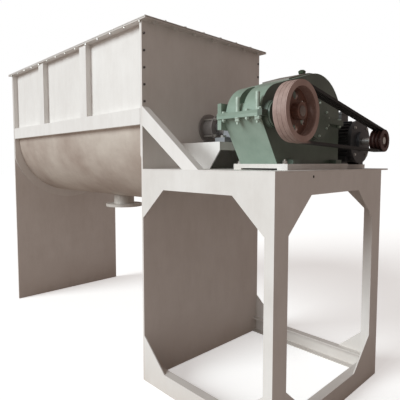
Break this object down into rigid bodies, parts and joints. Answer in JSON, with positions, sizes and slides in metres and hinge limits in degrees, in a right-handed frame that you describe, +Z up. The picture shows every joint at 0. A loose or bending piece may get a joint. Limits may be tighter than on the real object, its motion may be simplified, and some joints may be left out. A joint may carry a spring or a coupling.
{
  "type": "horizontal ribbon blender",
  "caption": "Horizontal ribbon blender: U trough between two end plates, hinged feed lid, double ribbon agitator, and a stand with gear reducer, belt drive and motor.",
  "frame": {"origin": "on the floor, at the middle of the whole outline in X and Y", "axes": "+X along the agitator's axis from the tail end to the drive stand, +Y from the front to the hinged side of the lid, +Z up"},
  "size_m": [3.071, 1.16, 2.041],
  "materials": {
    "painted_sheet": "off-white paint, satin",
    "bare_plate": "rolled plate, unpainted",
    "bare_steel": "machined",
    "ribbon_steel": "ground flat bar",
    "cast_housing": "grey enamel",
    "green_cast": "light green enamel",
    "primer_cast": "reddish primer",
    "belt_rubber": "matt",
    "seal_rubber": "matt",
    "motor_paint": "dark grey enamel"
  },
  "bodies": {
    "machine_frame": {"drive_end_plate": "painted_sheet", "tail_end_plate": "painted_sheet", "side_walls": "painted_sheet", "trough_end_flanges": "painted_sheet", "side_bands": "painted_sheet", "wall_ribs": "painted_sheet", "rim_flange": "painted_sheet", "fixed_cover": "painted_sheet", "hinge_fixed_leaves": "painted_sheet", "stand_beams": "painted_sheet", "stand_posts": "painted_sheet", "stand_gussets": "painted_sheet", "stand_deck": "painted_sheet", "diagonal_braces": "painted_sheet", "bearing_brackets": "painted_sheet", "outlet_spout": "painted_sheet", "outlet_flange": "painted_sheet", "gearbox_rails": "painted_sheet", "motor_slide_rails": "painted_sheet", "trough_bottom": "bare_plate", "hinge_pins": "bare_steel", "pillow_block_bolts": "bare_steel", "bearing_outer_rings": "bare_steel", "gland_studs": "bare_steel", "gearbox_bearings": "bare_steel", "gearbox_bolts": "bare_steel", "pillow_blocks": "cast_housing", "seal_housings": "cast_housing", "seal_glands": "cast_housing", "gearbox_lower_housing": "green_cast", "gearbox_cover": "green_cast", "gearbox_bearing_caps": "green_cast", "inspection_plate": "green_cast", "v_belts": "belt_rubber", "rim_gaskets": "seal_rubber", "seal_packings": "seal_rubber", "motor_frame": "motor_paint", "motor_end_shields": "motor_paint", "fan_cowl": "motor_paint", "terminal_box": "motor_paint"},
    "agitator": {"main_shaft": "bare_steel", "ribbon_arms": "ribbon_steel", "outer_ribbons": "ribbon_steel", "inner_ribbons": "ribbon_steel", "bearing_inner_rings": "bare_steel", "coupling_hubs": "cast_housing", "coupling_pins": "bare_steel", "output_shaft": "bare_steel", "output_gear": "bare_steel"},
    "lay_gearing": {"lay_shaft": "bare_steel", "lay_gear": "bare_steel"},
    "input_gearing": {"input_shaft": "bare_steel", "driven_pulley": "primer_cast"},
    "motor_drive": {"motor_rotor": "bare_steel", "motor_pulley": "primer_cast"},
    "feed_lid": {"lid_panel": "painted_sheet", "lid_handles": "painted_sheet", "hinge_lid_leaves": "painted_sheet"}
  },
  "joints": [
    {"name": "agitator_spin", "type": "hinge", "parent": "machine_frame", "child": "agitator", "pos_m": [-0.3155, -0.06, 1.44], "axis": [1, 0, 0], "continuous": true},
    {"name": "lay_shaft_spin", "type": "hinge", "parent": "machine_frame", "child": "lay_gearing", "pos_m": [1.2675, -0.29, 1.44], "axis": [1, 0, 0], "continuous": true},
    {"name": "input_shaft_spin", "type": "hinge", "parent": "machine_frame", "child": "input_gearing", "pos_m": [1.2675, -0.41, 1.44], "axis": [1, 0, 0], "continuous": true},
    {"name": "motor_spin", "type": "hinge", "parent": "machine_frame", "child": "motor_drive", "pos_m": [1.2425, 0.426, 1.35], "axis": [1, 0, 0], "continuous": true},
    {"name": "lid_hinge", "type": "hinge", "parent": "machine_frame", "child": "feed_lid", "pos_m": [-0.6625, 0.472, 2.003], "axis": [-1, 0, 0], "range_deg": [0, 100]}
  ],
  "couplings": [
    {"joint": "lay_shaft_spin", "follows": "agitator_spin", "ratio": -4.1111},
    {"joint": "input_shaft_spin", "follows": "agitator_spin", "ratio": 13.508},
    {"joint": "motor_spin", "follows": "agitator_spin", "ratio": 28.012}
  ]
}
